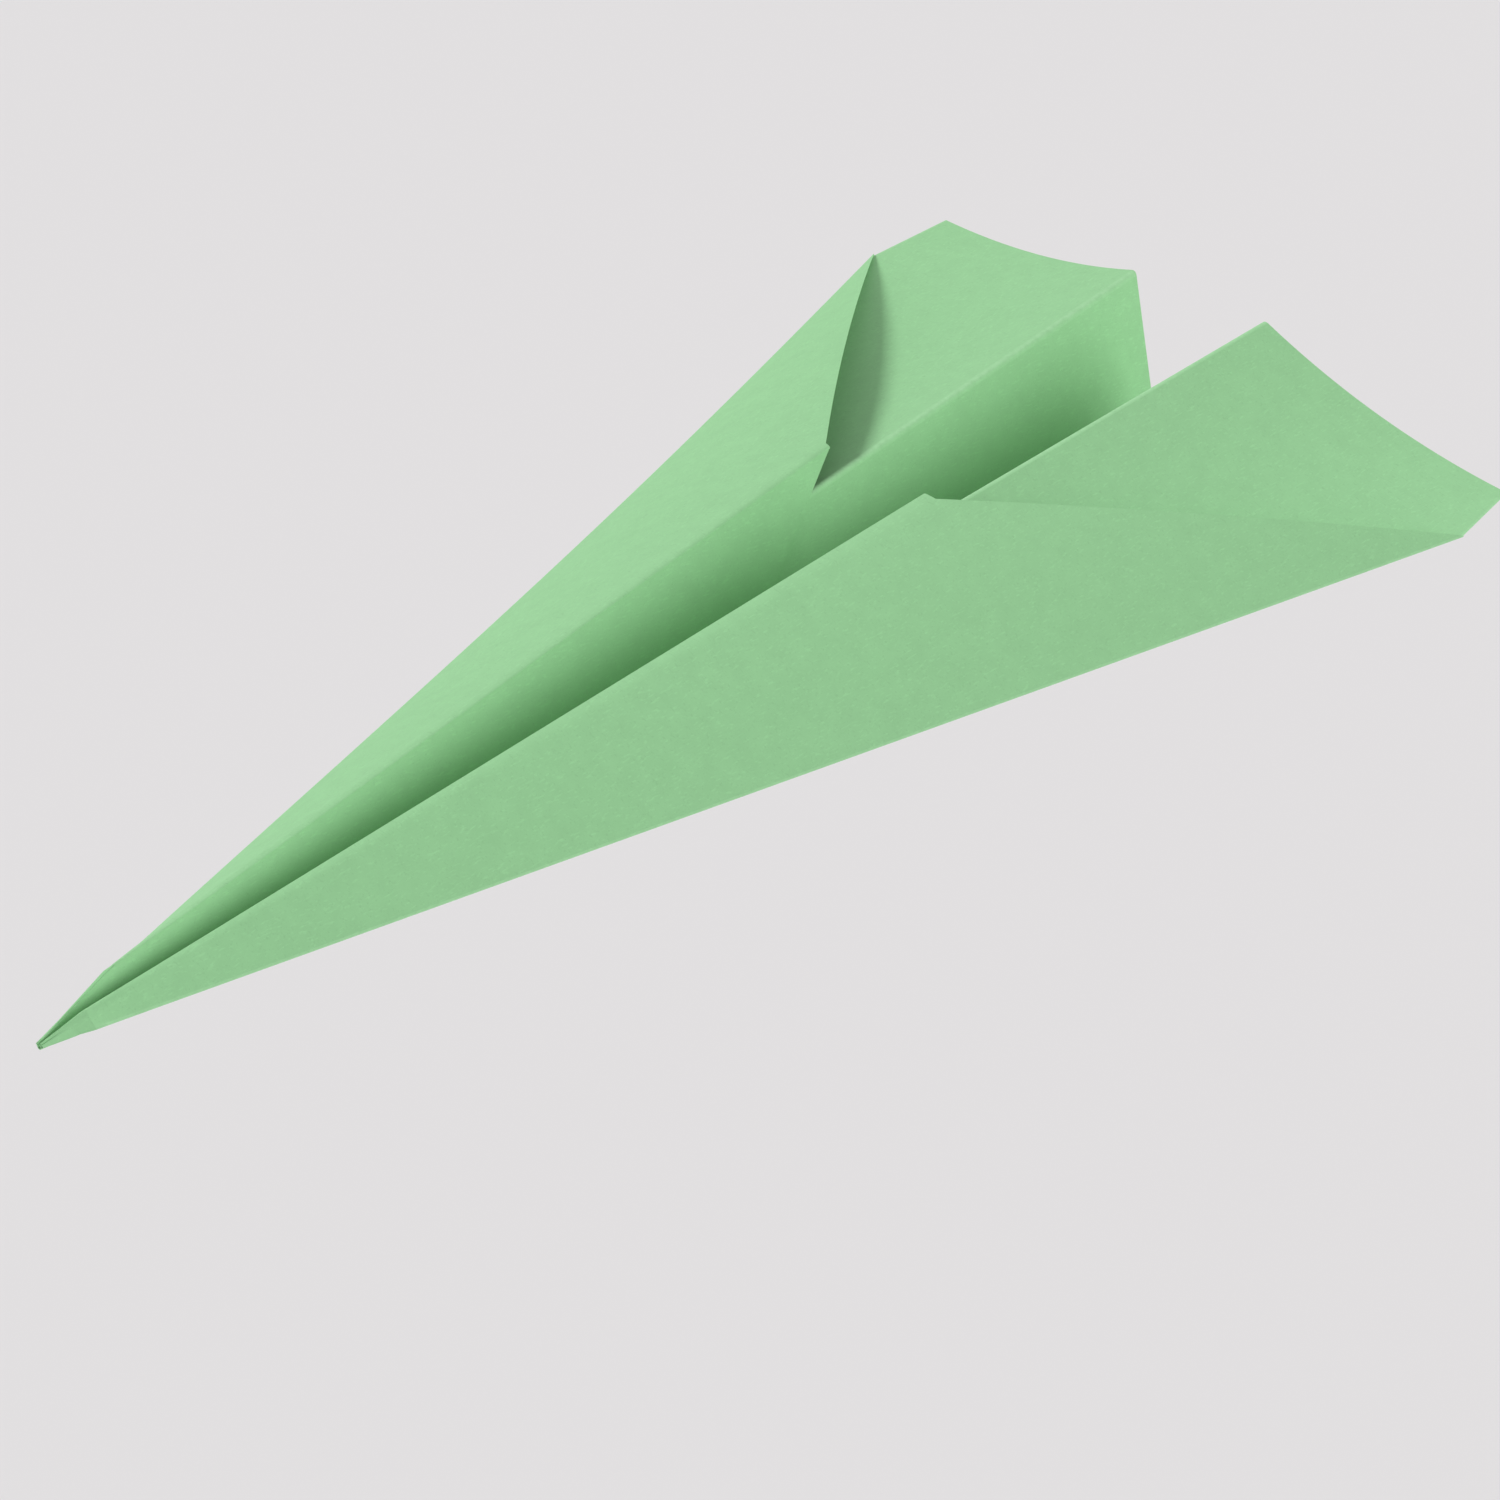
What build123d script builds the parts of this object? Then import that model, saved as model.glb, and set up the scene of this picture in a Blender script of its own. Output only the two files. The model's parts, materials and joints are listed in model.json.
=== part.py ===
from build123d import *
from math import cos, hypot, radians, sin, tan
import os

# A dart folded from one sheet of letter paper. All lengths are millimetres, all angles degrees.
#
# The model is folded the way the paper is. Half of the sheet is an outline in flat coordinates
# (across, along): across is the distance from the centreline, along is the distance from the nose.
# Creases cut the outline and turn parts of it over. Each piece between creases is then one thin
# panel. A panel starts upright in the YZ plane, outward face to +X, and the creases turn it into
# place. The right side is made the same way and then mirrored.

# ---- the sheet ----
sheet_width = 215.9
sheet_length = 279.4
paper_thickness = 0.1

# ---- where the creases run ----
corner_angle = 45.0  # first fold: corner to the centreline, measured from the centreline
edge_angle = 22.5  # second fold: slanted edge to the centreline, which makes the leading edge
wing_crease_start = {"left": 8.3, "right": 16.0}  # along the plane, where it meets the leading edge
wing_crease_end = {"left": 53.35, "right": 54.35}  # across, at the trailing edge: the keel's height

# ---- how far each crease is open ----
keel_half_angle = 15.5  # each keel wall from the upright
keel_most_open = 90.0  # between the two keel walls
wing_angle = {"left": 98.0, "right": 83.5}  # wing from the keel wall's own upward direction
flap_angle = {"left": 9.4, "right": 8.3}  # folded-in flap above the wing

# ---- clearances ----
layer_gap = 0.02  # between two layers that lie on each other
centre_gap = 0.05  # innermost layer to the middle plane, with the keel pressed shut
crease_gap = 0.05  # keel wall's outer face to the axis of the wing crease
wall_relief = 0.3  # keel wall stops this far below the wing crease
tuck_relief = 0.5  # tucked panels stop this far below the wing crease
wing_relief = 0.1  # wing layers start this far beyond the wing crease
lip_clearance = 1.0  # angle left between the keel's two rounded lips when it is most open

# ---- worked out ----
half_width = sheet_width / 2
layer_pitch = paper_thickness + layer_gap
# Inner faces of the four layers, innermost first, as distances from the middle plane.
LAYERS = ["flap", "lining", "corner", "base"]
layer_inner = {name: centre_gap + i * layer_pitch for i, name in enumerate(LAYERS)}
base_outer = layer_inner["base"] + paper_thickness
wing_axis_out = base_outer + crease_gap
flap_axis_out = layer_inner["corner"] - layer_gap / 2
lip_angle = 90 - keel_most_open / 2 - lip_clearance


# ---------------------------------------------------------------- folding flat outlines
def crease(start, end):
    """A crease through two flat points, as a point on it and its unit direction."""
    length = hypot(end[0] - start[0], end[1] - start[1])
    return start, ((end[0] - start[0]) / length, (end[1] - start[1]) / length)


def beyond(point, line):
    """How far a flat point lies outside a crease. It is negative on the centreline's side."""
    (across, along), (run_across, run_along) = line
    return (point[0] - across) * run_along - (point[1] - along) * run_across


def cut(outline, line, outside, relief=0.0):
    """The part of an outline on one side of a crease, kept clear of it by the relief."""
    sign = 1 if outside else -1
    depth = [sign * beyond(point, line) - relief for point in outline]
    kept = []
    for i, point in enumerate(outline):
        before, at_before = outline[i - 1], depth[i - 1]
        if (depth[i] > 0) != (at_before > 0):
            share = at_before / (at_before - depth[i])
            kept.append(tuple(b + share * (p - b) for b, p in zip(before, point)))
        if depth[i] > 0:
            kept.append(point)
    return kept


def turn_over(outline, line):
    """An outline folded over a crease, back onto the other side of it."""
    run = line[1]
    flipped = []
    for point in outline:
        out = 2 * beyond(point, line)
        flipped.append((point[0] - out * run[1], point[1] + out * run[0]))
    return flipped


nose = (0.0, 0.0)
corner_crease = crease(nose, (sin(radians(corner_angle)), cos(radians(corner_angle))))
edge_crease = crease(nose, (sin(radians(edge_angle)), cos(radians(edge_angle))))

half_sheet = [nose, (half_width, 0.0), (half_width, sheet_length), (0.0, sheet_length)]
after_corner = cut(half_sheet, corner_crease, outside=False)
corner = turn_over(cut(half_sheet, corner_crease, outside=True), corner_crease)

# The four layers of one half, once both folds are pressed flat.
outlines = {
    "base": cut(after_corner, edge_crease, outside=False),
    "corner": cut(corner, edge_crease, outside=False),
    "lining": turn_over(cut(corner, edge_crease, outside=True), edge_crease),
    "flap": turn_over(cut(after_corner, edge_crease, outside=True), edge_crease),
}


# ---------------------------------------------------------------- panels
def wing_crease(side):
    start = wing_crease_start[side]
    return crease((start * tan(radians(edge_angle)), start), (wing_crease_end[side], sheet_length))


def upright(line, out):
    """The axis of a crease, on an upright panel, at a distance out from the middle plane."""
    (across, along), (run_across, run_along) = line
    return Axis((out, along, across), (0, run_along, run_across))


def panel(outline, layer):
    """One flat panel of paper, upright, in its layer."""
    with BuildSketch(Plane.YZ.offset(layer_inner[layer])) as sketch:
        Polygon(*[(along, across) for across, along in outline], align=None)
    return extrude(sketch.sketch, amount=paper_thickness)


def keel_lip():
    """The rounded bottom of a keel wall: it curls inwards along the keel crease."""
    along_keel = (Align.CENTER, Align.CENTER, Align.MIN)
    ring = Cylinder(base_outer, sheet_length, arc_size=lip_angle, align=along_keel)
    ring -= Cylinder(layer_inner["base"], sheet_length, align=along_keel)
    return ring.rotate(Axis.X, -90)


def flap_corner(side):
    """Where the flap's raw edge meets the wing crease, in flat coordinates."""
    line = wing_crease(side)
    wing_outline = cut(outlines["flap"], line, outside=True)
    return max(point[::-1] for point in wing_outline if abs(beyond(point, line)) < 1e-6)[::-1]


def tuck_ratio(side):
    """How far the tucked panels swing up the keel wall for each degree the flap is lifted."""
    across, along = flap_corner(side)
    from_leading_edge = -beyond((across, along), edge_crease)
    return from_leading_edge / hypot(across, along) * sin(radians(wing_angle[side]))


def tuck_angle(side):
    return tuck_ratio(side) * flap_angle[side]


# ---------------------------------------------------------------- opening the creases
def open_keel(shape, side):
    """Leans a finished upright side outwards about the keel crease, and mirrors the right one."""
    shape = shape.rotate(Axis.Y, keel_half_angle)
    if side == "right":
        shape = mirror(shape, about=Plane.YZ)
    return shape


def open_wing(shape, side):
    return open_keel(shape.rotate(upright(wing_crease(side), wing_axis_out), wing_angle[side]), side)


def open_flap(shape, side):
    return open_wing(shape.rotate(upright(edge_crease, flap_axis_out), flap_angle[side]), side)


def open_tuck(shape, side):
    return open_keel(shape.rotate(Axis.X, tuck_angle(side)), side)


# ---------------------------------------------------------------- one side of the plane
def keel_part(layer, side, relief):
    return panel(cut(outlines[layer], wing_crease(side), outside=False, relief=relief), layer)


def wing_part(layer, side):
    return panel(cut(outlines[layer], wing_crease(side), outside=True, relief=wing_relief), layer)


def make_side(side):
    """The eight panels of one side, by name, where they lie on the folded plane."""
    return {
        f"{side}_keel_wall": open_keel(keel_part("base", side, wall_relief) + keel_lip(), side),
        f"{side}_keel_corner_layer": open_keel(keel_part("corner", side, wall_relief), side),
        f"{side}_tuck_lining": open_tuck(keel_part("lining", side, tuck_relief), side),
        f"{side}_tuck_panel": open_tuck(keel_part("flap", side, tuck_relief), side),
        f"{side}_wing_panel": open_wing(wing_part("base", side), side),
        f"{side}_wing_corner_layer": open_wing(wing_part("corner", side), side),
        f"{side}_flap_lining": open_flap(wing_part("lining", side), side),
        f"{side}_flap_panel": open_flap(wing_part("flap", side), side),
    }


def along_axis(axis):
    """A unit edge on an axis, which can be turned and placed like a panel."""
    return Edge.make_line(axis.position, axis.position + axis.direction)


def crease_edges(side):
    """Unit edges on the axes that one side's panels turn about, on the folded plane."""
    return {
        "keel_fold": open_keel(along_axis(Axis.Y), side),
        "wing_fold": open_keel(along_axis(upright(wing_crease(side), wing_axis_out)), side),
        "flap_lift": open_wing(along_axis(upright(edge_crease, flap_axis_out)), side),
        "tuck_slide": open_keel(along_axis(Axis.X), side),
    }


# ---------------------------------------------------------------- the whole plane
# It is folded with the nose at the origin. Then it moves until the origin is at the bottom
# of its box, in the middle.
panels = {**make_side("left"), **make_side("right")}
box = Compound(list(panels.values())).bounding_box()
to_origin = Pos(-box.center().X, -box.center().Y, -box.min.Z)

os.makedirs("parts", exist_ok=True)
for name, solid in panels.items():
    export_step(to_origin * solid, f"parts/{name}.step")

for side in ("left", "right"):
    for name, edge in crease_edges(side).items():
        start, direction = (to_origin * edge) @ 0, edge % 0
        print(side, name, "through", start, "along", direction)
    print(side, "tuck turns", round(tuck_ratio(side), 4), "degrees per degree of flap")
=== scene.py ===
# %% [markdown]
# # A paper dart, folded in Blender
#
# The object is one sheet of green paper with creases in it. The CAD model holds each flat panel
# between two creases, says where the creases are, and how far each one is open. This script makes
# the paper that shows: panels with a soft curl, rounded creases, real thickness and a paper finish.
#
# A folded sheet follows one rule again and again: what lies beyond a line turns about that line.
# So every panel starts flat, as an outline on the uncut sheet, and Geometry Nodes fold it.

# %% Load the frame
import bpy
import json
from math import atan2, cos, degrees, exp, pi, radians, sin, tan
from mathutils import Matrix, Quaternion, Vector


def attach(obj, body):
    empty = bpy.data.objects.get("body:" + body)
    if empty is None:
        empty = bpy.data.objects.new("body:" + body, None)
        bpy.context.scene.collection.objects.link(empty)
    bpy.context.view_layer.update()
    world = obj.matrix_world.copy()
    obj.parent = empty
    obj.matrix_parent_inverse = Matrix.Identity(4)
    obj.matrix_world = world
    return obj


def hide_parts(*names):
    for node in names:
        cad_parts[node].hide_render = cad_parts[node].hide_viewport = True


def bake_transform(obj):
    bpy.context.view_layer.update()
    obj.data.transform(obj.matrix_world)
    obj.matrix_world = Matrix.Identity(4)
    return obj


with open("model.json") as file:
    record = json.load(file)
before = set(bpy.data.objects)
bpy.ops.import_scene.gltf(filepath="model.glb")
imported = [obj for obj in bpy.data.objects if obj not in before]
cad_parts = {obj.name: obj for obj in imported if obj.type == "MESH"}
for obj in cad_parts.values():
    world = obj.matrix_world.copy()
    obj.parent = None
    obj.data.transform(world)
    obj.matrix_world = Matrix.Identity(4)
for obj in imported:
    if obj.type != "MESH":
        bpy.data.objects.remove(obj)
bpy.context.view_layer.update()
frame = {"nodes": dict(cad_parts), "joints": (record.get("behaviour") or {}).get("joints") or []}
joints = {joint["name"]: joint for joint in frame["joints"]}
MM = 0.001
tiny = 1e-9

# %% [markdown]
# ## The view
#
# The dart is seen from in front of its nose and from its left, a little above the wings. A long
# lens from far away keeps the long thin shape from stretching. A roll turns the view slightly.
# The standard view transform keeps a pale green as it is, where the default one greys it.

# %% Camera
eye = Vector((480.68, -542.77, 355.79)) * MM
aim = Vector((13.17, 1.09, 6.18)) * MM
roll = Quaternion((0, 0, 1), radians(3.333))
lens = bpy.data.cameras.new("view")
lens.lens, lens.sensor_width = 113.82, 36
lens.clip_start, lens.clip_end = 0.01, 20
camera = bpy.data.objects.new("view", lens)
bpy.context.collection.objects.link(camera)
camera.rotation_euler = ((aim - eye).to_track_quat("-Z", "Y") @ roll).to_euler()
camera.location = eye
bpy.context.scene.camera = camera
bpy.context.scene.view_settings.view_transform = "Standard"
print("camera stands", round((eye - aim).length, 3), "m from the dart")

# %% [markdown]
# ## The sheet
#
# Paper sizes are standards, so the sheet is known to a tenth of a millimetre: this one is Letter.
# The first fold turns a front corner in to the centreline, at 45 degrees. The second turns the
# new slanted edge in to the centreline, at 22.5 degrees: its crease is the wing's leading edge.
# The flap is then a doubled layer: its own panel and the lining that was the first fold.

# %% The sheet and its layers
half_width = 215.9 / 2 * MM
sheet_length = 279.4 * MM
paper_thickness = 0.1 * MM
LAYER_OUT = {"flap": 0.10 * MM, "lining": 0.22 * MM, "corner": 0.34 * MM, "base": 0.46 * MM}
edge_fold_out = (LAYER_OUT["flap"] + LAYER_OUT["base"]) / 2
edge_slope = tan(radians(22.5))
edge_end = half_width / edge_slope
corner_along, corner_across = half_width, half_width * edge_slope
flap_along = half_width * 2 ** 0.5
print("the leading edge meets the side of the sheet", round(edge_end / MM, 1), "mm from the nose")

# %% [markdown]
# ## Where each side lies
#
# A side is worked out standing upright, in axes of its own: out from the middle plane, along from
# the nose, and across the sheet from the keel. The joints of the frame say where those axes lie,
# and where the wing crease runs. A flap's joint can close until the flap is flat, so its lower
# limit is also how far it stands open at rest, and the same holds for how far a tuck has slid.

# %% Read the sides from the frame
def side_facts(name):
    """The axes, wing crease and fold angles of one side of the dart."""
    mirror = 1 if name == "left" else -1
    fold, lift = joints[f"{name}_wing_fold"], joints[f"{name}_flap_lift"]
    slide = joints[f"{name}_tuck_slide"]
    out = Vector(slide["axis"]) * mirror
    axes = Matrix((out, (0, 1, 0), (-out.z * mirror, 0, out.x * mirror))).transposed().to_4x4()
    axes.translation = Vector(slide["pos_m"])
    into = axes.inverted()
    start, run = into @ Vector(fold["pos_m"]), into.to_3x3() @ Vector(fold["axis"]) * mirror
    panel = max(frame["nodes"][f"{name}_wing_panel"].data.polygons, key=lambda face: face.area)
    facing = into.to_3x3() @ panel.normal
    wing_turn = atan2(-facing.dot(Vector((0, -run.z, run.y))), facing.x) % pi
    return {
        "name": name, "mirror": mirror, "axes": axes, "start": start, "run": run,
        "slope": run.z / run.y, "wing_turn": wing_turn,
        "flap_turn": radians(-lift["range_deg"][0]), "tuck_turn": radians(-slide["range_deg"][0]),
    }


sides = {name: side_facts(name) for name in ("left", "right")}
for side in sides.values():
    print(side["name"], "wing turned", round(degrees(side["wing_turn"]), 2), "degrees")

# %% [markdown]
# ## Rails
#
# A panel lies between two rails: for a wing these are the wing crease and the leading edge. A
# rail is a run of straight lines on the flat sheet. Its corners alone would do for an outline,
# but a point at any distance from the nose is more useful: panels that share a crease can then
# have their rows at the same places. A rounded crease needs a little paper, so panels stop short
# of it: by a hair at the nose, where all the creases meet, and by the full amount further back.

# %% Points on rails
nose_share, nose_run = 0.2, 3 * MM
full_inset_run = 9 * MM


def inset_at_nose(along):
    """The share of the full inset that a row in front of the wing crease has."""
    return nose_share * min(1.0, along / nose_run)


def inset(side, along, most):
    """A distance from the wing crease that is small at the nose and grows behind it."""
    past = max(0.0, along - side["start"].y)
    return most * (inset_at_nose(along) + (1 - nose_share) * (1 - exp(-past / full_inset_run)))


def crease_across(side, along):
    """How far across the sheet the wing crease is, at a distance from the nose."""
    return side["start"].z + side["slope"] * (along - side["start"].y)


def rail_point(corners, share):
    """The point a share of the way along a run of straight lines, by distance from the nose."""
    along = corners[0][0] + (corners[-1][0] - corners[0][0]) * share
    for (a, b), (c, d) in zip(corners, corners[1:]):
        if along <= c + tiny and c > a:
            return Vector((0, along, b + (d - b) * (along - a) / (c - a)))
    return Vector((0, *corners[-1]))


for side in sides.values():
    across = round(crease_across(side, sheet_length) / MM, 1)
    print(side["name"], "wing crease ends", across, "mm above the keel crease")

# %% [markdown]
# ## How paper curls
#
# Paper can't stretch, so a free panel bends the way a cone does, about its pointed end. A sphere
# or a random ripple would look like cloth. `ease` is how far a point stands out from the flat
# panel: nothing at its two edges, most midway between them, and more towards the tail.

# %% Curl of a panel
cone_growth = 1.6


def share_across(side, point):
    """How far across the wing a flat point is, from 0 at its crease to 1 at its outer edge."""
    crease, outer = crease_across(side, point.y), min(point.y * edge_slope, half_width)
    return min(1.0, max(0.0, (point.z - crease) / max(outer - crease, 0.01 * MM)))


def cone_ease(side, point, depth, reach):
    """How far a curled panel stands out: most midway between its edges, and more further back."""
    share, run = share_across(side, point), point.y - side["start"].y
    return depth * 4 * share * (1 - share) * (run / reach) ** cone_growth


for way in (0.25, 0.5, 1.0):
    print("curl", way, "of the way back:", round(way ** cone_growth, 2), "of the most")

# %% [markdown]
# ## A straight leading edge
#
# Flat panels turned about the wing crease leave a corner in the leading edge, where that crease
# starts. On real paper the edge is a thick, stiff fold that runs straight from the nose to the
# wing tip, and the thin wing behind it gives way. Here the front of each wing droops until its
# edge lies on that straight line. The right wing's edge also sags, under the curl of its paper.

# %% Droop of the wings
EDGE_SAG = {"left": 0.0, "right": 2.2 * MM}
sag_lean = 1.25


def turned(point, start, run, angle):
    """A point turned about a line."""
    return start + Quaternion(run, angle) @ (point - start)


def edge_target(side, along, layer):
    """Where the leading edge lies, straight from the nose to the wing tip."""
    base_nose = Vector((LAYER_OUT["base"], 0, 0))
    flat_tip = base_nose + Vector((0, edge_end, half_width))
    tip = turned(flat_tip, side["start"], side["run"], side["wing_turn"])
    return Vector((LAYER_OUT[layer], 0, 0)) + (tip - base_nose) * (along / edge_end)


def wing_droop(side, point):
    """How far a wing point comes down so that the leading edge is straight from the nose."""
    start = side["start"]
    corner = Vector((LAYER_OUT["base"], start.y, start.z))
    most = edge_target(side, start.y, "base") - corner
    way = min(1.0, max(0.0, (point.y - start.y) / (edge_end - start.y)))
    under = Quaternion(side["run"], side["wing_turn"]) @ Vector((1, 0, 0))
    bow = under * EDGE_SAG[side["name"]] * sin(pi * way ** sag_lean)
    return (most * (1 - way) + bow) * share_across(side, point)


for side in sides.values():
    most = wing_droop(side, Vector((0, side["start"].y, half_width))).length
    print(side["name"], "wing droops", round(most / MM, 2), "mm where its crease starts")

# %% [markdown]
# ## A flat panel
#
# The mesh is a ladder of rows from rail to rail. Rows at the same places on two panels that share
# a crease let a rounded strip join them later, point for point. The curl and the droop of each
# point are kept on the mesh as attributes, for the nodes that fold it to read.

# %% Make a flat panel
def flat_panel(name, layer, inner, outer, columns, ease, droop):
    """A ladder of faces between two rails of flat points, standing upright."""
    vertices, faces = [], []
    for a, b in zip(inner, outer):
        vertices += [a.lerp(b, column / columns) for column in range(columns + 1)]
    step = columns + 1
    for row in range(len(inner) - 1):
        for column in range(columns):
            i = row * step + column
            faces.append((i, i + step, i + step + 1, i + 1))
    mesh = bpy.data.meshes.new(name)
    mesh.from_pydata([(LAYER_OUT[layer], v.y, v.z) for v in vertices], [], faces)
    eases, droops = [ease(v) for v in vertices], [value for v in vertices for value in droop(v)]
    mesh.attributes.new("ease", "FLOAT", "POINT").data.foreach_set("value", eases)
    mesh.attributes.new("droop", "FLOAT_VECTOR", "POINT").data.foreach_set("vector", droops)
    return mesh


print("layers stand out", {layer: round(out / MM, 2) for layer, out in LAYER_OUT.items()}, "mm")

# %% [markdown]
# ## Folding with Geometry Nodes
#
# The tree does what hands do. It eases the flat panel out of flat, turns it about the leading
# edge if it is a flap, turns it about the wing crease if it is part of a wing, and slides it up
# about the nose if it is tucked into the keel. A turn of zero leaves a panel as it was. Last
# comes the droop, which is a distance in the folded place.

# %% Start a tree
def new_tree(name, inputs):
    """A Geometry Nodes tree with named inputs and one output."""
    tree = bpy.data.node_groups.new(name, "GeometryNodeTree")
    tree.interface.new_socket("Geometry", in_out="INPUT", socket_type="NodeSocketGeometry")
    tree.interface.new_socket("Geometry", in_out="OUTPUT", socket_type="NodeSocketGeometry")
    for label, kind in inputs:
        tree.interface.new_socket(label, in_out="INPUT", socket_type=f"NodeSocket{kind}")
    return tree, tree.nodes.new("NodeGroupInput"), tree.nodes.new("NodeGroupOutput")


fold_tree, given, result = new_tree("fold the sheet", [
    ("Nose", "Vector"), ("Leading edge", "Vector"), ("Flap turn", "Float"),
    ("Wing crease start", "Vector"), ("Wing crease run", "Vector"), ("Wing turn", "Float"),
    ("Slide axis", "Vector"), ("Slide turn", "Float"), ("Paper", "Material"),
])
print(fold_tree.name, "takes", [item.name for item in fold_tree.interface.items_tree])

# %% The folding tree
def stored(tree, name, kind):
    """An attribute that is kept on the mesh."""
    node = tree.nodes.new("GeometryNodeInputNamedAttribute")
    node.data_type = kind
    node.inputs["Name"].default_value = name
    return node.outputs["Attribute"]


def added(tree, vector, more):
    """Two vectors added."""
    node = tree.nodes.new("ShaderNodeVectorMath")
    tree.links.new(vector, node.inputs[0])
    tree.links.new(more, node.inputs[1])
    return node.outputs["Vector"]


def turn_node(tree, vector, center, axis, angle):
    """Turn a position about a line."""
    node = tree.nodes.new("ShaderNodeVectorRotate")
    node.rotation_type = "AXIS_ANGLE"
    for socket, source in (("Vector", vector), ("Center", center), ("Axis", axis), ("Angle", angle)):
        tree.links.new(source, node.inputs[socket])
    return node.outputs["Vector"]


def close_tree(tree, geometry, given, result):
    """End a tree with real geometry in the given paper."""
    real = tree.nodes.new("GeometryNodeRealizeInstances")
    paint = tree.nodes.new("GeometryNodeSetMaterial")
    tree.links.new(geometry, real.inputs["Geometry"])
    tree.links.new(real.outputs["Geometry"], paint.inputs["Geometry"])
    tree.links.new(given.outputs["Paper"], paint.inputs["Material"])
    tree.links.new(paint.outputs["Geometry"], result.inputs["Geometry"])
    print(tree.name, "has", len(tree.nodes), "nodes")


place = fold_tree.nodes.new("GeometryNodeInputPosition").outputs["Position"]
ease_vector = fold_tree.nodes.new("ShaderNodeCombineXYZ")
fold_tree.links.new(stored(fold_tree, "ease", "FLOAT"), ease_vector.inputs["X"])
moved = added(fold_tree, place, ease_vector.outputs["Vector"])
for center, axis, angle in (
    ("Nose", "Leading edge", "Flap turn"),
    ("Wing crease start", "Wing crease run", "Wing turn"),
    ("Nose", "Slide axis", "Slide turn"),
):
    line = given.outputs[center], given.outputs[axis]
    moved = turn_node(fold_tree, moved, *line, given.outputs[angle])
moved = added(fold_tree, moved, stored(fold_tree, "droop", "FLOAT_VECTOR"))
set_place = fold_tree.nodes.new("GeometryNodeSetPosition")
fold_tree.links.new(given.outputs["Geometry"], set_place.inputs["Geometry"])
fold_tree.links.new(moved, set_place.inputs["Position"])
close_tree(fold_tree, set_place.outputs["Geometry"], given, result)

# %% [markdown]
# ## Thickness with Geometry Nodes
#
# The folded panel is a skin with no thickness, in the middle of the paper. The second tree moves
# it in by half the thickness, extrudes it out by the whole, and closes the shell with the skin it
# started from, turned over. That keeps every edge of the paper crisp, square and closed.

# %% The thickness tree
thick_tree, given, result = new_tree(
    "give the paper thickness", [("Thickness", "Float"), ("Paper", "Material")]
)
normal = thick_tree.nodes.new("GeometryNodeInputNormal").outputs["Normal"]


def scaled(tree, vector, amount):
    """A vector times a number from a socket."""
    node = tree.nodes.new("ShaderNodeVectorMath")
    node.operation = "SCALE"
    tree.links.new(vector, node.inputs[0])
    tree.links.new(amount, node.inputs["Scale"])
    return node.outputs["Vector"]


half = thick_tree.nodes.new("ShaderNodeMath")
half.operation = "MULTIPLY"
half.inputs[1].default_value = -0.5
thick_tree.links.new(given.outputs["Thickness"], half.inputs[0])
shift_in = thick_tree.nodes.new("GeometryNodeSetPosition")
thick_tree.links.new(given.outputs["Geometry"], shift_in.inputs["Geometry"])
thick_tree.links.new(scaled(thick_tree, normal, half.outputs["Value"]), shift_in.inputs["Offset"])
extrude = thick_tree.nodes.new("GeometryNodeExtrudeMesh")
extrude.inputs["Individual"].default_value = False
thick_tree.links.new(shift_in.outputs["Geometry"], extrude.inputs["Mesh"])
thick_tree.links.new(normal, extrude.inputs["Offset"])
thick_tree.links.new(given.outputs["Thickness"], extrude.inputs["Offset Scale"])
turned_over = thick_tree.nodes.new("GeometryNodeFlipFaces")
thick_tree.links.new(shift_in.outputs["Geometry"], turned_over.inputs["Mesh"])
both = thick_tree.nodes.new("GeometryNodeJoinGeometry")
thick_tree.links.new(extrude.outputs["Mesh"], both.inputs["Geometry"])
thick_tree.links.new(turned_over.outputs["Mesh"], both.inputs["Geometry"])
weld = thick_tree.nodes.new("GeometryNodeMergeByDistance")
weld.inputs["Distance"].default_value = 0.001 * MM
thick_tree.links.new(both.outputs["Geometry"], weld.inputs["Geometry"])
close_tree(thick_tree, weld.outputs["Geometry"], given, result)

# %% [markdown]
# ## Running a tree
#
# A tree needs an object with a modifier. Its inputs are set by the identifier of each socket,
# because the names are only labels. The evaluated object is copied to a plain mesh, and the
# helper object goes away with its modifier, so that nothing live is left on a finished piece.

# %% Run a tree on a mesh
def run_tree(mesh, tree, **values):
    """Give a mesh to a Geometry Nodes tree, and return the plain mesh that comes out."""
    helper = bpy.data.objects.new("at work", mesh)
    bpy.context.collection.objects.link(helper)
    modifier = helper.modifiers.new("tree", "NODES")
    modifier.node_group = tree
    for item in tree.interface.items_tree:
        key = item.name.lower().replace(" ", "_")
        if item.in_out == "INPUT" and key in values:
            modifier[item.identifier] = values[key]
    depsgraph = bpy.context.evaluated_depsgraph_get()
    done = bpy.data.meshes.new_from_object(helper.evaluated_get(depsgraph), depsgraph=depsgraph)
    helper.modifiers.remove(modifier)
    bpy.data.objects.remove(helper)
    return done


for tree in (fold_tree, thick_tree):
    asked = [item.name for item in tree.interface.items_tree if item.in_out == "INPUT"]
    print(tree.name, "is given", asked)

# %% [markdown]
# ## The paper
#
# Coloured copy paper is dyed through, matt and a little cloudy, because its fibres settle
# unevenly. Close up it has short fibres in every direction and a faint tooth. Along each crease
# and folded edge a thin paler line is painted: partly the whitening of broken fibres, partly a
# painted highlight where the rounded bend catches the light. The colour needs a soft cloudiness,
# fine fibre flecks and a bump so fine that it only takes the shine off.

# %% Helpers for the paper
GREEN = (0.292, 0.586, 0.293)
# The paler crease colour: partly whitened fibres, partly a painted highlight.
CREASE_WHITENING_AND_HIGHLIGHT = (0.42, 0.74, 0.42)
paper = bpy.data.materials.new("green_copy_paper")
paper.use_nodes = True
nodes, links = paper.node_tree.nodes, paper.node_tree.links
shader = nodes["Principled BSDF"]
spot = nodes.new("ShaderNodeTexCoord").outputs["Object"]


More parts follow.
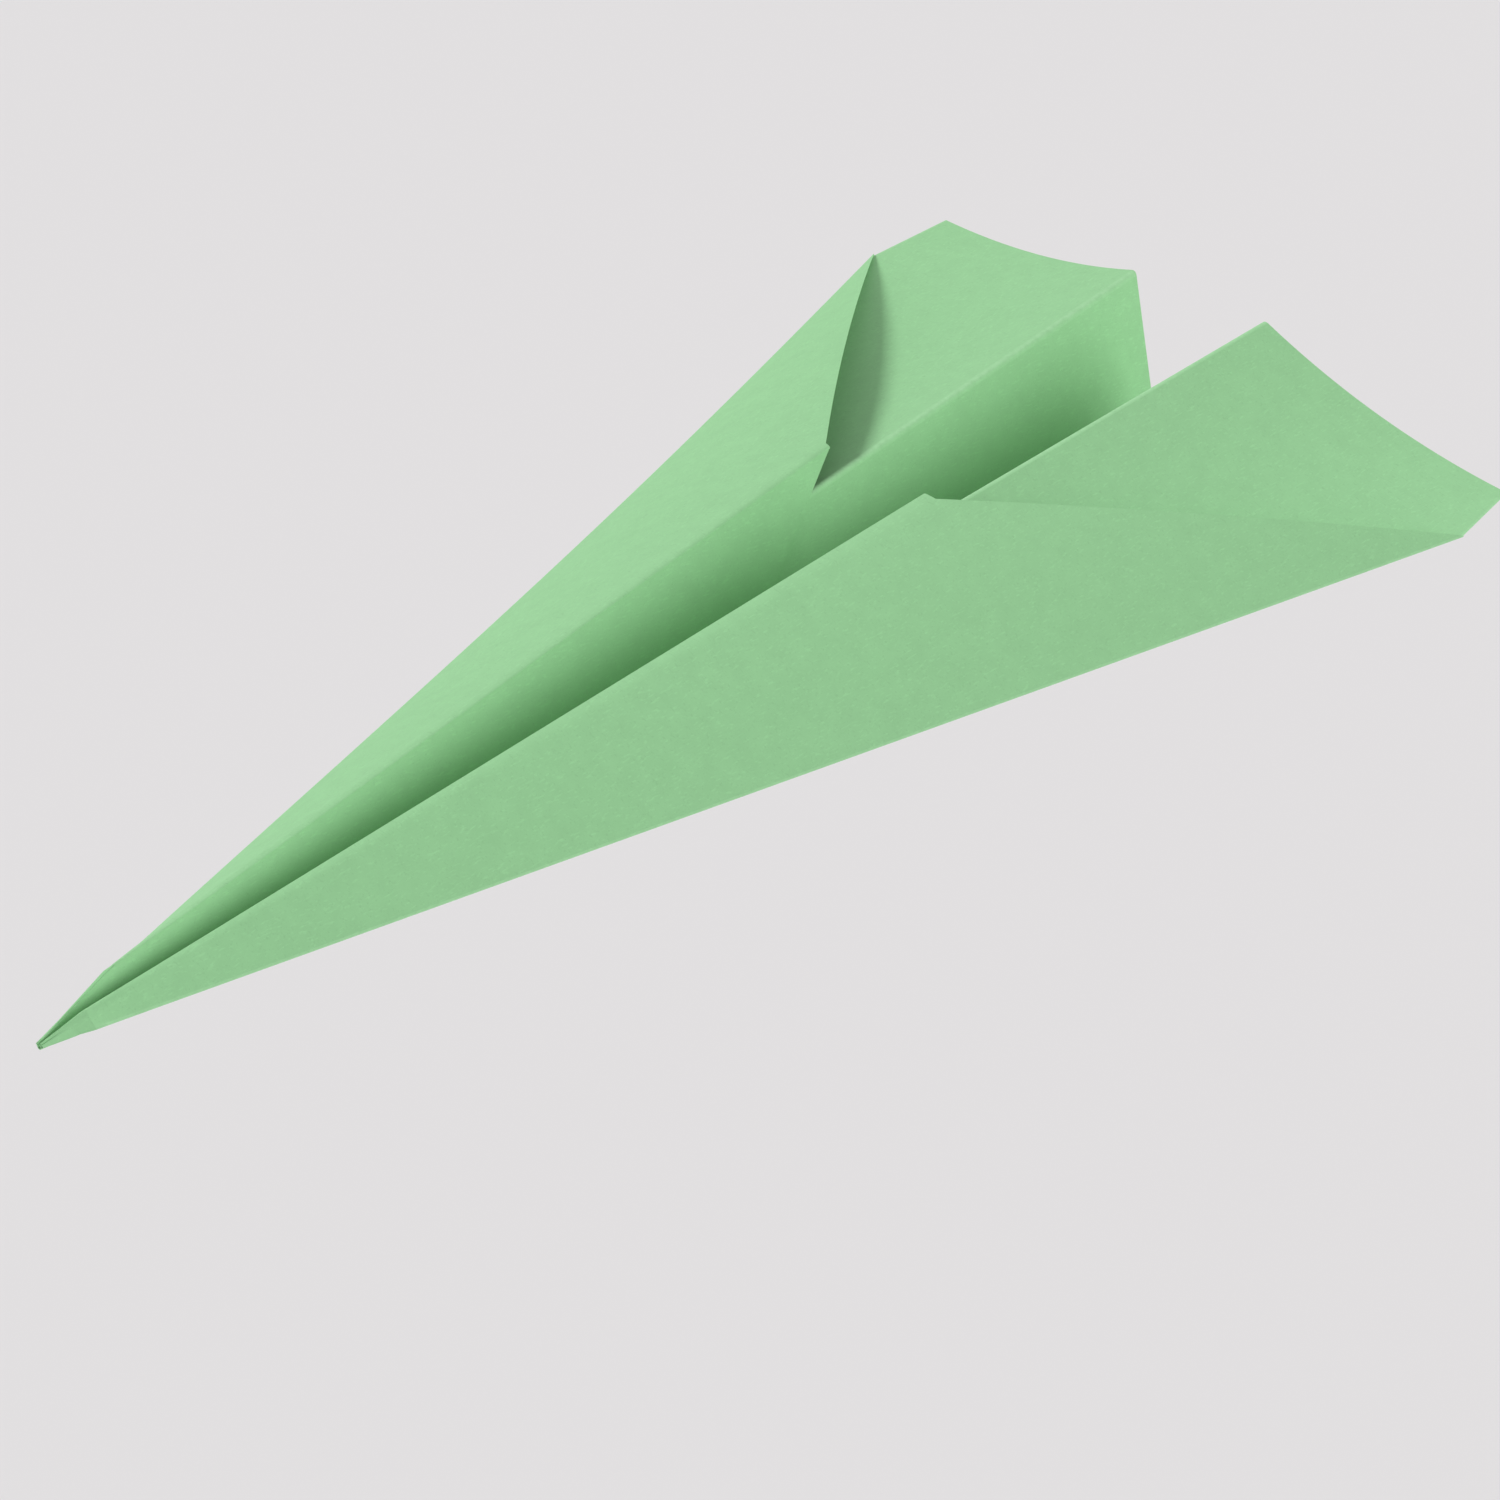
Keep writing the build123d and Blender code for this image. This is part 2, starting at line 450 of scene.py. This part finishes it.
def noise(scale, detail, roughness=0.5, stretch=None, turn=0.0):
    """Noise over the paper, in features per metre."""
    node = nodes.new("ShaderNodeTexNoise")
    node.inputs["Scale"].default_value = scale
    node.inputs["Detail"].default_value = detail
    node.inputs["Roughness"].default_value = roughness
    source = spot
    if stretch:
        mapping = nodes.new("ShaderNodeMapping")
        mapping.inputs["Scale"].default_value = stretch
        mapping.inputs["Rotation"].default_value = (turn * 0.4, turn * 0.3, turn)
        links.new(spot, mapping.inputs["Vector"])
        source = mapping.outputs["Vector"]
    links.new(source, node.inputs["Vector"])
    return node.outputs["Fac"]


def spread(value, low, high, to_low, to_high):
    """Stretch a range of values onto another."""
    node = nodes.new("ShaderNodeMapRange")
    links.new(value, node.inputs["Value"])
    labels = ("From Min", "From Max", "To Min", "To Max")
    for label, number in zip(labels, (low, high, to_low, to_high)):
        node.inputs[label].default_value = number
    return node.outputs["Result"]


def tinted(color, factor, other_color):
    """Mix a second colour into one, by a factor from a socket."""
    node = nodes.new("ShaderNodeMix")
    node.data_type = "RGBA"
    links.new(factor, node.inputs["Factor"])
    if isinstance(color, tuple):
        node.inputs["A"].default_value = (*color, 1)
    else:
        links.new(color, node.inputs["A"])
    node.inputs["B"].default_value = (*other_color, 1)
    return node.outputs["Result"]


def bump(height, strength, distance):
    """A bump node with a height from a socket."""
    node = nodes.new("ShaderNodeBump")
    node.inputs["Strength"].default_value = strength
    node.inputs["Distance"].default_value = distance
    links.new(height, node.inputs["Height"])
    return node


def shade_of(share):
    """The paper's green, lighter or darker."""
    return tuple(min(1.0, channel * share) for channel in GREEN)


print("green a tenth darker:", [round(channel, 3) for channel in shade_of(0.9)])

# %% Green copy paper
clouds = spread(noise(260, 4, 0.6), 0.3, 0.7, 0, 1)
color = tinted(shade_of(0.97), clouds, shade_of(1.03))
pale_fibres = spread(noise(2600, 2, 0.5, (1, 0.22, 1), 0.5), 0.56, 0.72, 0, 0.5)
color = tinted(color, pale_fibres, shade_of(1.16))
dark_fibres = spread(noise(3000, 2, 0.5, (0.25, 1, 1), 1.9), 0.58, 0.74, 0, 0.5)
color = tinted(color, dark_fibres, shade_of(0.84))
# A paler line near creases and folded edges: partly whitened fibres, partly a painted highlight.
crease_read = nodes.new("ShaderNodeAttribute")
crease_read.attribute_name = "crease"
near_crease = spread(crease_read.outputs["Fac"], 0.0, 0.55 * MM, 1, 0)
crease_whitening_and_highlight = nodes.new("ShaderNodeMath")
crease_whitening_and_highlight.operation = "MULTIPLY"
links.new(near_crease, crease_whitening_and_highlight.inputs[0])
links.new(spread(noise(900, 3), 0.35, 0.65, 0.25, 0.6), crease_whitening_and_highlight.inputs[1])
color = tinted(color, crease_whitening_and_highlight.outputs["Value"], CREASE_WHITENING_AND_HIGHLIGHT)
links.new(color, shader.inputs["Base Color"])
links.new(spread(noise(700, 3), 0.3, 0.7, 0.80, 0.94), shader.inputs["Roughness"])
shader.inputs["Specular IOR Level"].default_value = 0.25
shader.inputs["Sheen Weight"].default_value = 0.06
shader.inputs["Sheen Roughness"].default_value = 0.6
tooth = bump(noise(3500, 3, 0.6), 0.35, 0.02 * MM)
wave = bump(noise(55, 2), 0.5, 0.05 * MM)
links.new(tooth.outputs["Normal"], wave.inputs["Normal"])
links.new(wave.outputs["Normal"], shader.inputs["Normal"])
print("paper:", len(nodes), "nodes")

# %% [markdown]
# ## From skin to paper
#
# Every skin, panel or crease strip, is finished in the same way. It gets the distance to its
# crease, its thickness, and edges that shade sharp where they turn a square corner. Only then
# is a panel put on the body it moves with, and the CAD part it stands for hidden; a strip or cheek
# stays where it lies.

# %% Finish a skin
square_edge = radians(50)


def skin(name, grid, crease_at):
    """A mesh from a grid of points in finished place, with the distance to its crease kept."""
    step = len(grid[0])
    faces = [
        (i, i + step, i + step + 1, i + 1)
        for row in range(len(grid) - 1) for i in range(row * step, row * step + step - 1)
    ]
    mesh = bpy.data.meshes.new(name)
    mesh.from_pydata([point for row in grid for point in row], [], faces)
    store = mesh.attributes.new("crease", "FLOAT", "POINT")
    store.data.foreach_set("value", [value for row in crease_at for value in row])
    return mesh


def finish_paper(name, mesh, body=None, node=None, bends=None):
    """Thicken a folded skin and make it a piece of the dart."""
    solid = run_tree(mesh, thick_tree, thickness=paper_thickness, paper=paper)
    solid.name = name
    solid.shade_smooth()
    solid.set_sharp_from_angle(angle=square_edge)
    piece = bpy.data.objects.new(name, solid)
    bpy.context.collection.objects.link(piece)
    if bends:
        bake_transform(piece)
    else:
        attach(piece, body)
    if node:
        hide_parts(node)
    print(name, len(solid.polygons), "faces")


print("edges shade sharp from", round(degrees(square_edge)), "degrees")

# %% [markdown]
# ## The eight panels of a side
#
# Each layer of the sheet is cut in two by the wing crease: a keel part below it and a wing part
# above. The outlines come from the folds alone, with no measuring. The rows are closest
# together at the nose, and some lie exactly where each wing crease starts. The two inner layers
# show only at their edges, so evenly spaced rows are enough for them.

# %% Rows that the outer panels share
starts = sorted(side["start"].y for side in sides.values())
first_row_along = 0.2 * MM


def spaced(first, last, count):
    """Evenly spaced distances, first one left out."""
    return [first + (last - first) * (i + 1) / count for i in range(count)]


rows_along = (
    spaced(first_row_along, starts[0], 8) + spaced(starts[0], starts[1], 8)
    + spaced(starts[1], edge_end, 120) + spaced(edge_end, sheet_length, 8)
)
print(len(rows_along), "rows from nose to tail")

# %% [markdown]
# ## How much each panel gives
#
# The base wing sags between its crease and the leading edge, as paper held by the keel does, and
# the flap on top bows upwards. The left wing's tip also curls up at the tail, where nothing
# doubles the paper. A flap is shorter than its wing, so its bow reaches its most sooner.

# %% Outlines and eases
WING_SAG = {"left": 3.4 * MM, "right": 2.2 * MM}
TIP_CURL = {"left": 2.6 * MM, "right": 0.0}
FLAP_BOW = {"left": -1.4 * MM, "right": -2.2 * MM}
flap_share = 0.75


def level(point):
    """No ease: a panel that stays flat."""
    return 0.0


def panel_plan(side):
    """Layer, inner rail, outer rail, columns and ease of each panel of a side, laid flat."""
    nose, start = (0, 0), (side["start"].y, side["start"].z)
    slope, at_nose = side["slope"], crease_across(side, 0)
    base_end = (sheet_length, crease_across(side, sheet_length))
    corner, corner_end = (corner_along, corner_across), (corner_along, crease_across(side, corner_along))
    flap_meets = (flap_along + at_nose) / (1 - slope)
    flap_end = (flap_meets, flap_meets - flap_along)
    lining_meets = (flap_along - at_nose) / (1 + slope)
    lining_end = (lining_meets, flap_along - lining_meets)
    tip, tail = (edge_end, half_width), (sheet_length, half_width)
    reach = sheet_length - start[0]

    def wing_ease(point):
        past = max(0.0, point.y - edge_end) / (sheet_length - edge_end)
        curl = TIP_CURL[side["name"]] * past * share_across(side, point) ** 2
        return cone_ease(side, point, WING_SAG[side["name"]], reach) + curl

    def flap_ease(point):
        return cone_ease(side, point, FLAP_BOW[side["name"]], reach * flap_share)

    return {
        "keel_wall": ("base", [nose, (sheet_length, 0)], [nose, start, base_end], 12, level),
        "keel_corner_layer": ("corner", [nose, (corner_along, 0)], [nose, start, corner_end], 8, level),
        "tuck_panel": ("flap", [nose, (flap_along, 0)], [nose, start, flap_end], 16, level),
        "tuck_lining": ("lining", [nose, (flap_along, 0)], [nose, start, lining_end], 10, level),
        "wing_panel": ("base", [start, base_end], [start, tip, tail], 30, wing_ease),
        "wing_corner_layer": ("corner", [start, corner_end], [start, corner], 14, wing_ease),
        "flap_panel": ("flap", [start, flap_end], [start, tip], 30, flap_ease),
        "flap_lining": ("lining", [start, lining_end], [start, corner], 14, flap_ease),
    }


for kind, (layer, inner, outer, columns, ease) in panel_plan(sides["left"]).items():
    print(kind, "lies in the", layer, "layer and ends", round(outer[-1][0] / MM, 1), "mm from the nose")

# %% [markdown]
# ## Folding the panels
#
# Each panel is laid flat between its rails, pulled back from the wing crease by the paper that
# the rounded crease needs, and given to the folding tree. The hidden layers are pulled back
# further, as trimmed linings are in a folded edge, so they never poke out through a bend. A
# pull is never more than a part of the row's width, which keeps the narrow rows at the nose.

# %% Fold every panel
crease_leg = 1.0 * MM
roll_back = 0.5 * MM
tuck_drop = 0.35 * MM
PULL_BACK = {"keel": crease_leg, "tuck": tuck_drop, "wing": crease_leg, "flap": roll_back}
hidden_below, hidden_beyond = 1.3, 3
most_of_row = 0.3
hidden_start, hidden_rows, tuck_rows = 0.01, 60, 90


def shares_for(kind, side, outer):
    """The rows of a panel, as shares of its way along."""
    first, last = outer[0][0], outer[-1][0]
    if kind == "tuck_panel":
        shares = [along / last for along in rows_along if along <= side["start"].y + tiny]
        return shares + spaced(shares[-1], 1, tuck_rows)
    if kind in ("keel_wall", "wing_panel", "flap_panel"):
        rows = [along for along in rows_along if first + tiny < along < last + tiny]
        return [(along - first) / (last - first) for along in rows]
    return [hidden_start] + spaced(hidden_start, 1, hidden_rows)


def fold_panel(side, kind, plan):
    """The folded skin of one panel, as rows of points in the frame."""
    layer, inner, outer, columns, ease = plan
    part = kind.split("_")[0]
    below_crease, on_flap, on_tuck = part in ("keel", "tuck"), part == "flap", part == "tuck"
    shares = shares_for(kind, side, outer)
    near, far = ([rail_point(rail, share) for share in shares] for rail in (inner, outer))
    pull = PULL_BACK[part]
    if layer in ("corner", "lining"):
        pull *= hidden_below if below_crease else hidden_beyond
    for inner_point, outer_point in zip(near, far):
        edge = outer_point if below_crease else inner_point
        most = most_of_row * (outer_point.z - inner_point.z)
        edge.z += min(most, inset(side, edge.y, pull)) * (-1 if below_crease else 1)

    def droop(point):
        return Vector((0, 0, 0)) if below_crease else wing_droop(side, point)

    folded = run_tree(
        flat_panel(kind, layer, near, far, columns, ease, droop), fold_tree, paper=paper,
        nose=(edge_fold_out, 0, 0) if on_flap else (0, 0, 0),
        leading_edge=(0, 1, edge_slope), flap_turn=side["flap_turn"] if on_flap else 0.0,
        wing_crease_start=tuple(side["start"]), wing_crease_run=tuple(side["run"]),
        wing_turn=0.0 if below_crease else side["wing_turn"],
        slide_axis=(1, 0, 0), slide_turn=side["tuck_turn"] if on_tuck else 0.0,
    )
    points = [side["axes"] @ vertex.co for vertex in folded.vertices]
    step = columns + 1
    return [points[i:i + step] for i in range(0, len(points), step)]


skins = {}
for side in sides.values():
    for kind, plan in panel_plan(side).items():
        skins[side["name"], kind] = fold_panel(side, kind, plan)
    print(side["name"], "folded:", [kind for name, kind in skins if name == side["name"]])

# %% [markdown]
# ## Rounded creases
#
# A pressed crease in paper is about a millimetre wide. Where two panels would meet in a sharp
# corner, a strip bends from one to the other. Beside the wing crease it starts along one panel
# and ends along the other. At the leading edge and the keel it goes round the outside as an arc.

# %% Strips from panel to panel
shallow_turn = 0.2


def bend_between(row_a, row_b, corner, count=10):
    """Points of a soft corner from a to b."""
    return [
        row_a * (1 - q) ** 2 + corner * 2 * q * (1 - q) + row_b * q ** 2
        for q in (i / count for i in range(count + 1))
    ]


def round_between(a, b, outward, count=10):
    """Points of a half circle from a to b, bulging outward."""
    middle, arm = (a + b) / 2, (a - b) / 2
    bulge = (outward - outward.project(arm)).normalized() * arm.length
    return [
        middle + arm * cos(pi * i / count) + bulge * sin(pi * i / count) for i in range(count + 1)
    ]


def wing_crease_strip(side):
    """The soft corner between keel wall and wing."""
    wing = skins[side["name"], "wing_panel"]
    wall = skins[side["name"], "keel_wall"][-len(wing):]
    grid = []
    for below, beyond in zip(wall, wing):
        a, b = below[-1], beyond[0]
        up, back = (a - below[-2]).normalized(), (b - beyond[1]).normalized()
        reach = (a - b).length / 2 / max(shallow_turn, sin(side["wing_turn"] / 2))
        corner = ((a + up * reach) + (b + back * reach)) / 2
        grid.append(bend_between(a, b, corner))
    return grid


def fold_outward(low, high):
    """The way out of a fold: both rows' ends point along it."""
    return (low[-1] - low[-2]) + (high[-1] - high[-2])


def leading_edge_strip(side):
    """The folded edge between the base wing below and the flap on top."""
    wing, flap = skins[side["name"], "wing_panel"], skins[side["name"], "flap_panel"]
    return [
        round_between(low[-1], high[-1], fold_outward(low, high)) for low, high in zip(wing, flap)
    ]


def keel_crease_strip():
    """The folded bottom of the keel, from one wall round to the other."""
    walls = zip(skins["left", "keel_wall"], skins["right", "keel_wall"])
    return [round_between(left[0], right[0], Vector((0, 0, -1)), 12) for left, right in walls]


gap = (skins["left", "keel_wall"][-1][0] - skins["right", "keel_wall"][-1][0]).length
print("the keel crease is rounded across", round(gap / MM, 2), "mm")

# %% [markdown]
# ## The flap's inner edge
#
# The flap is the same paper as the tuck inside the keel, so its inner edge is not a cut edge: it
# rolls over and goes down into the keel. A separate strip could close the gap, but its joints
# would show, so the flap's own skin gets a soft bend there. It carries on in line with the flap
# as far as the side's upright plane, and then goes down to the top of the tuck.

# %% Roll the flap's inner edge
roll_plane = 0.0
least_lean = 0.3
full_drop_along = 4 * MM


def tuck_top(side, along):
    """The height of the tuck's top edge, after it has slid up."""
    turn, slope = side["tuck_turn"], side["slope"]
    at_nose = crease_across(side, 0)
    flat = (along + at_nose * sin(turn)) / (cos(turn) - slope * sin(turn))
    behind = flat * sin(turn) + (at_nose + slope * flat) * cos(turn)
    return min(behind, along * tan(radians(22.5) + turn))


def roll_inner_edge(grid, side, count=8):
    """Add a rolled edge to the inner side of the flap's rows, down to the tuck."""
    into = side["axes"].inverted()
    rolled = []
    for row in grid:
        edge, inward = into @ row[0], (into @ row[0] - into @ row[1]).normalized()
        corner = edge + inward * (edge.x - roll_plane) / max(least_lean, -inward.x)
        corner.y = edge.y
        drop = tuck_drop * min(1.0, edge.y / full_drop_along)
        end = Vector((roll_plane, corner.y, min(tuck_top(side, corner.y), corner.z) - drop))
        bend = [side["axes"] @ point for point in bend_between(edge, end, corner, count)]
        rolled.append(bend[:0:-1] + row)
    return rolled


for side in sides.values():
    print(side["name"], "tuck is", round(tuck_top(side, flap_along) / MM, 1), "mm high at its tail")

# %% [markdown]
# ## The cheeks beside the nose
#
# In front of the wing crease there is no wing yet, only the folded nose: keel wall, leading edge
# and flap in one narrow bend. If it belonged to the keel alone, it would tear from the wings
# when they move, and leave a forked nose. So each side has a cheek of its own, one skin from the
# keel wall out to the leading edge, round it and back over the flap. Its rows grow from the nose
# into the first row of the wing.

# %% Rows of a cheek
def nose_rows(side, layer, first_row):
    """Rows in front of the wing crease, from the top of the keel down to the leading edge."""
    columns = len(first_row) - 1
    last = min(along for along in rows_along if along > side["start"].y + tiny)
    rows = []
    for along in [along for along in rows_along if along <= last]:
        top = Vector((LAYER_OUT[layer], along, along * edge_slope))
        edge = edge_target(side, along, layer)
        top = top.lerp(edge, crease_leg * inset_at_nose(along) / (edge - top).length)
        rows.append([side["axes"] @ top.lerp(edge, i / columns) for i in range(columns + 1)])
    shift = [there - here for here, there in zip(rows[-1], first_row)]
    for k, row in enumerate(rows):
        ease_in = ((k + 1) / len(rows)) ** 2
        rows[k] = [point + move * ease_in for point, move in zip(row, shift)]
    return rows


def cheek_grid(side):
    """The folded skin round the nose: crease, base, leading edge, flap and roll in one."""
    name = side["name"]
    wing, flap = skins[name, "wing_panel"], skins[name, "flap_panel"]
    base_rows, flap_rows = nose_rows(side, "base", wing[0]), nose_rows(side, "flap", flap[0])
    wall_rows = skins[name, "keel_wall"][:len(base_rows)]
    grid = []
    for wall, base, top in zip(wall_rows, base_rows, roll_inner_edge(flap_rows, side)):
        edge = round_between(base[-1], top[-1], fold_outward(base, top))
        grid.append([wall[-1]] + base + edge[1:-1] + top[::-1])
    return grid


for side in sides.values():
    print(side["name"], "cheek is", round(side["start"].y / MM, 1), "mm long")

# %% [markdown]
# ## Making the pieces
#
# Now every skin becomes paper. A panel rides on its own body and stands for its CAD part. The
# strips and cheeks have no CAD part: they are the bends between two bodies. A mirrored skin has
# its faces the wrong way round, so the right side's are turned over before they get thickness.

# %% Make the pieces
crease_reach = 0.4 * MM


def facing_out(mesh, side):
    """Turn a mirrored skin's faces the right way."""
    if side["mirror"] < 0:
        mesh.flip_normals()
    return mesh


def to_folded_edge(grid, folded):
    """How far each point is from a fold at the outer end of its row: far, where none is."""
    return [[(point - row[-1]).length if folded else 1.0 for point in row] for row in grid]


def strip_piece(name, grid, body_a, body_b, turn_over):
    """A crease strip between the panels of two bodies."""
    ends = len(grid[0]) - 1
    from_middle = [crease_reach * abs(2 * i / ends - 1) for i in range(ends + 1)]
    mesh = skin(name, grid, [from_middle] * len(grid))
    if turn_over:
        mesh.flip_normals()
    middle = grid[len(grid) // 2]
    finish_paper(name, mesh, bends=(body_a, body_b, middle[0], middle[-1]))


for side in sides.values():
    name = side["name"]
    keel, wing, flap = f"{name}_keel", f"{name}_wing", f"{name}_flap"
    for kind in panel_plan(side):
        grid = skins[name, kind]
        if kind == "flap_panel":
            grid = roll_inner_edge(grid, side)
        crease_at = to_folded_edge(grid, kind in ("wing_panel", "flap_panel"))
        mesh = facing_out(skin(kind, grid, crease_at), side)
        body = f"{name}_{kind.split('_')[0]}"
        finish_paper(f"{name}_{kind}_paper", mesh, body=body, node=f"{name}_{kind}")
    flip = side["mirror"] < 0
    strip_piece(f"{name}_wing_crease", wing_crease_strip(side), keel, wing, flip)
    strip_piece(f"{name}_leading_edge", leading_edge_strip(side), wing, flap, flip)
    cheek = cheek_grid(side)
    mesh = facing_out(skin(f"{name}_nose_cheek", cheek, to_folded_edge(cheek, False)), side)
    ends = side["axes"] @ Vector((0, 0, 0)), side["axes"] @ Vector((0, side["start"].y, 0))
    finish_paper(f"{name}_nose_cheek", mesh, bends=(keel, wing, *ends))
strip_piece("keel_crease", keel_crease_strip(), "left_keel", "right_keel", True)

# %% [markdown]
# ## Floor and light
#
# A pale floor well below the dart keeps its shadow out of sight. The light is that of a bright
# room: even all round, a window on the dart's right, in front of its nose and high up, and a
# bright wall behind its left wing, which is wider and so softer.

# %% Floor
floor_half, floor_drop = 6.0, -0.9
quarters = [(-1, -1), (1, -1), (1, 1), (-1, 1)]
floor_corners = [(x * floor_half, y * floor_half, floor_drop) for x, y in quarters]
floor_mesh = bpy.data.meshes.new("floor")
floor_mesh.from_pydata(floor_corners, [], [(0, 1, 2, 3)])
floor = bpy.data.objects.new("floor", floor_mesh)
bpy.context.collection.objects.link(floor)
floor_finish = bpy.data.materials.new("pale_floor")
floor_finish.use_nodes = True
floor_shader = floor_finish.node_tree.nodes["Principled BSDF"]
floor_shader.inputs["Base Color"].default_value = (0.715, 0.70, 0.707, 1)
floor_shader.inputs["Roughness"].default_value = 1.0
floor_shader.inputs["Specular IOR Level"].default_value = 0.0
floor_mesh.materials.append(floor_finish)
print("floor lies", -floor_drop, "m below the keel")

# %% Lights
world = bpy.data.worlds.new("bright room")
world.use_nodes = True
world.node_tree.nodes["Background"].inputs["Color"].default_value = (1, 1, 1, 1)
world.node_tree.nodes["Background"].inputs["Strength"].default_value = 0.50
bpy.context.scene.world = world


def add_sun(name, toward, strength, width):
    """A sun whose light comes from a direction, soft by its width in degrees."""
    lamp = bpy.data.lights.new(name, "SUN")
    lamp.energy, lamp.angle = strength, radians(width)
    sun = bpy.data.objects.new(name, lamp)
    sun.rotation_euler = Vector(toward).to_track_quat("Z", "Y").to_euler()
    bpy.context.collection.objects.link(sun)


add_sun("window", (-0.70, -0.40, 0.50), 2.15, 20)
add_sun("bright wall", (0.78, 0.55, 0.32), 1.95, 40)
print("lights:", [light.name for light in bpy.data.lights])
